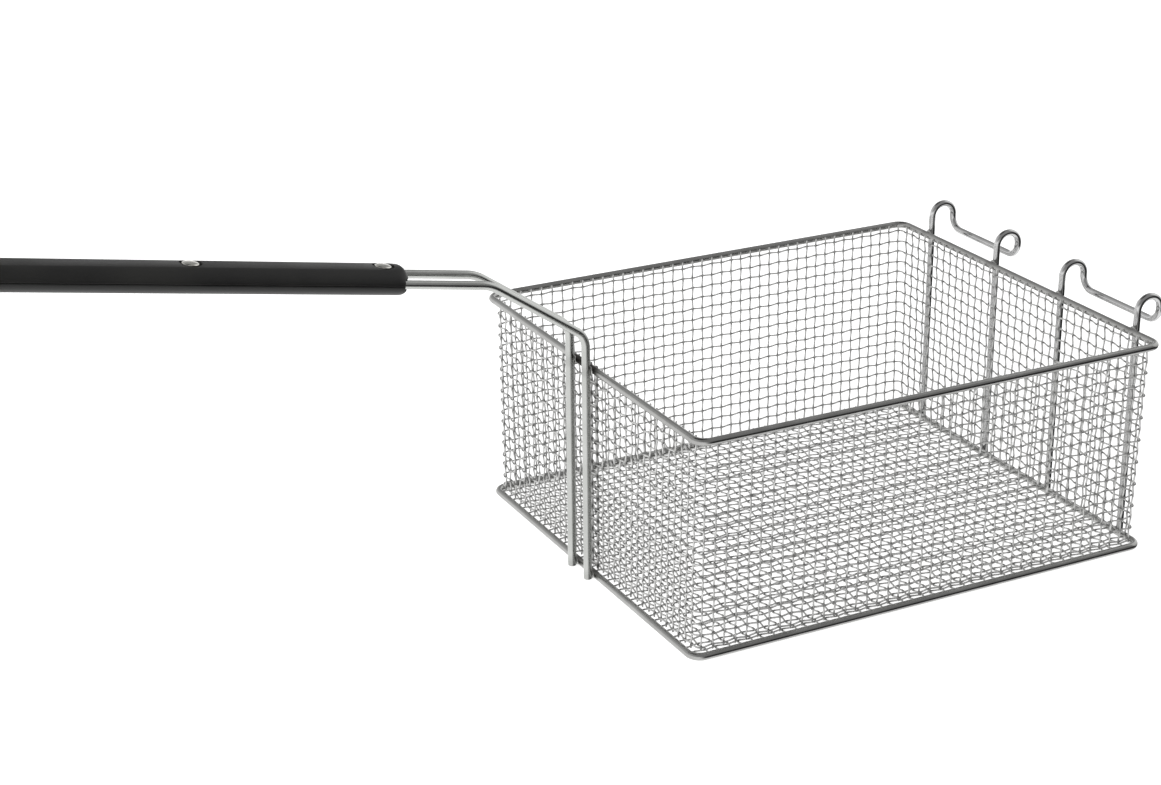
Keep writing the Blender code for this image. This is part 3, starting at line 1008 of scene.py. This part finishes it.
def make_world():
    """The room that the metal mirrors, as light by direction."""
    world = bpy.data.worlds.new("studio_room")
    world.use_nodes = True
    tree = world.node_tree
    place = tree.nodes.new("ShaderNodeTexCoord").outputs["Generated"]

    def towards(direction):
        node = tree.nodes.new("ShaderNodeVectorMath")
        node.operation = "DOT_PRODUCT"
        node.inputs[1].default_value = direction
        tree.links.new(place, node.inputs[0])
        return node.outputs["Value"]

    def between(value, from_low, from_high, low, high):
        node = tree.nodes.new("ShaderNodeMapRange")
        node.interpolation_type = "SMOOTHSTEP"
        for name, number in (
            ("From Min", from_low),
            ("From Max", from_high),
            ("To Min", low),
            ("To Max", high),
        ):
            node.inputs[name].default_value = number
        tree.links.new(value, node.inputs["Value"])
        return node.outputs["Result"]

    def maths(operation, first, second):
        node = tree.nodes.new("ShaderNodeMath")
        node.operation = operation
        tree.links.new(first, node.inputs[0])
        tree.links.new(second, node.inputs[1])
        return node.outputs[0]

    def blend(share, first, second):
        node = tree.nodes.new("ShaderNodeMix")
        tree.links.new(share, node.inputs["Factor"])
        tree.links.new(first, node.inputs["A"])
        tree.links.new(second, node.inputs["B"])
        return node.outputs["Result"]

    left = towards((-0.7, 0.55, 0))
    height = towards((0, 0, 1))
    # Low down: bright on the left, nearly black on the right, and bright again steeply below
    low_sides = between(left, -0.75, -0.05, 0.03, 1.0)
    steeply_below = between(height, -0.72, -0.42, 1, 0)
    below = maths("MAXIMUM", low_sides, steeply_below)
    # Higher up: grey, lighter on the left
    above = between(left, 0, 0.9, 0.27, 0.6)
    room = blend(between(height, 0.05, 0.38, 0, 1), below, above)
    # One more patch of light on the hooks' side, and a dark patch overhead
    lit_side = between(towards((0.93, 0.08, 0.36)), 0.75, 0.93, 0, 0.6)
    ceiling = between(towards((-0.12, 0.29, 0.95)), 0.88, 0.97, 1, 0.1)
    light = maths("MULTIPLY", maths("ADD", room, lit_side), ceiling)
    tree.links.new(light, tree.nodes["Background"].inputs["Color"])
    bpy.context.scene.world = world


def make_camera():
    azimuth = CAMERA_AZIMUTH
    elevation = CAMERA_ELEVATION
    level = math.cos(elevation)
    right = Vector((math.cos(azimuth), math.sin(azimuth), 0))
    back = Vector((math.sin(azimuth) * level, -math.cos(azimuth) * level, math.sin(elevation)))
    up = back.cross(right)
    turned_right = right * math.cos(CAMERA_ROLL) + up * math.sin(CAMERA_ROLL)
    turned_up = up * math.cos(CAMERA_ROLL) - right * math.sin(CAMERA_ROLL)
    middle = Vector((BASKET_X, 0, FRAME_Z))
    place = middle + turned_right * CAMERA_ASIDE + turned_up * CAMERA_ABOVE + back * CAMERA_DISTANCE
    camera = bpy.data.objects.new("camera", bpy.data.cameras.new("camera"))
    camera.data.lens = LENS
    axes = Matrix((turned_right, turned_up, back)).transposed()
    camera.matrix_world = Matrix.Translation(place) @ axes.to_4x4()
    bpy.context.scene.collection.objects.link(camera)
    bpy.context.scene.camera = camera


# ---------------------------------------------------------------- the scene

frame_steel = plated("frame_steel", (0.55, 0.55, 0.54), (0.42, 0.42, 0.41), 0.14, 0.26, HEAT_TINT_AND_SHADE, 0.02 * MM)
# The cloth's tint is painted shade at the crossings and at the lap
cloth_steel = plated(
    "cloth_steel", (0.74, 0.74, 0.73), (0.64, 0.64, 0.63), 0.28, 0.44, CLOTH_SHADE_TINT, 0.01 * MM, metallic=0.72
)
hook_steel = plated("hook_steel", (0.76, 0.76, 0.76), (0.62, 0.62, 0.62), 0.06, 0.16, HEAT_TINT_AND_SHADE, 0.008 * MM)
rod_steel = plated("rod_steel", (0.68, 0.69, 0.67), (0.58, 0.59, 0.57), 0.16, 0.28, HEAT_TINT_AND_SHADE, 0.015 * MM)
rivet_steel = plated("rivet_steel", (0.86, 0.85, 0.80), (0.74, 0.73, 0.69), 0.16, 0.30, HEAT_TINT_AND_SHADE, 0.02 * MM)

make_ring("top_rim_wire", RIM_LENGTH, RIM_WIDTH, RIM_Z, RIM_WIRE, frame_steel)
make_ring("bottom_frame_wire", FRAME_LENGTH, FRAME_WIDTH, FRAME_Z, FRAME_WIRE, frame_steel)
make_open_wire("handle_rod", rod_path(), ROD_WIRE, rod_steel, "handle_rod", rod_welds(), ROD_MARK_REACH)
for hook, side in (("hook_wire_left", 1), ("hook_wire_right", -1)):
    hook_line = hook_path(side * (HOOK_SPACING - HOOK_SPAN) / 2, side * (HOOK_SPACING + HOOK_SPAN) / 2)
    make_open_wire(hook, hook_line, HOOK_WIRE, hook_steel, "hook_wire", hook_welds(), HOOK_HEAT_REACH)
make_welds(frame_steel)

cloth_wall = Wall()
make_uprights(cloth_wall, cloth_steel)
make_levels(cloth_wall, cloth_steel)
make_seam(cloth_wall, cloth_steel)
make_bottom(cloth_steel)
make_grip(moulded_plastic(), rivet_steel)

make_floor(floor_paper())
make_world()
make_light("key_softbox", (-1.6, -0.6, 1.9), (0, 0, 0.1), (1.4, 1.4), 42)
make_light("fill_softbox", (1.2, -1.8, 1.7), (0.1, 0, 0.1), (1.2, 1.2), 12)
make_camera()
bpy.context.scene.view_settings.view_transform = "Standard"
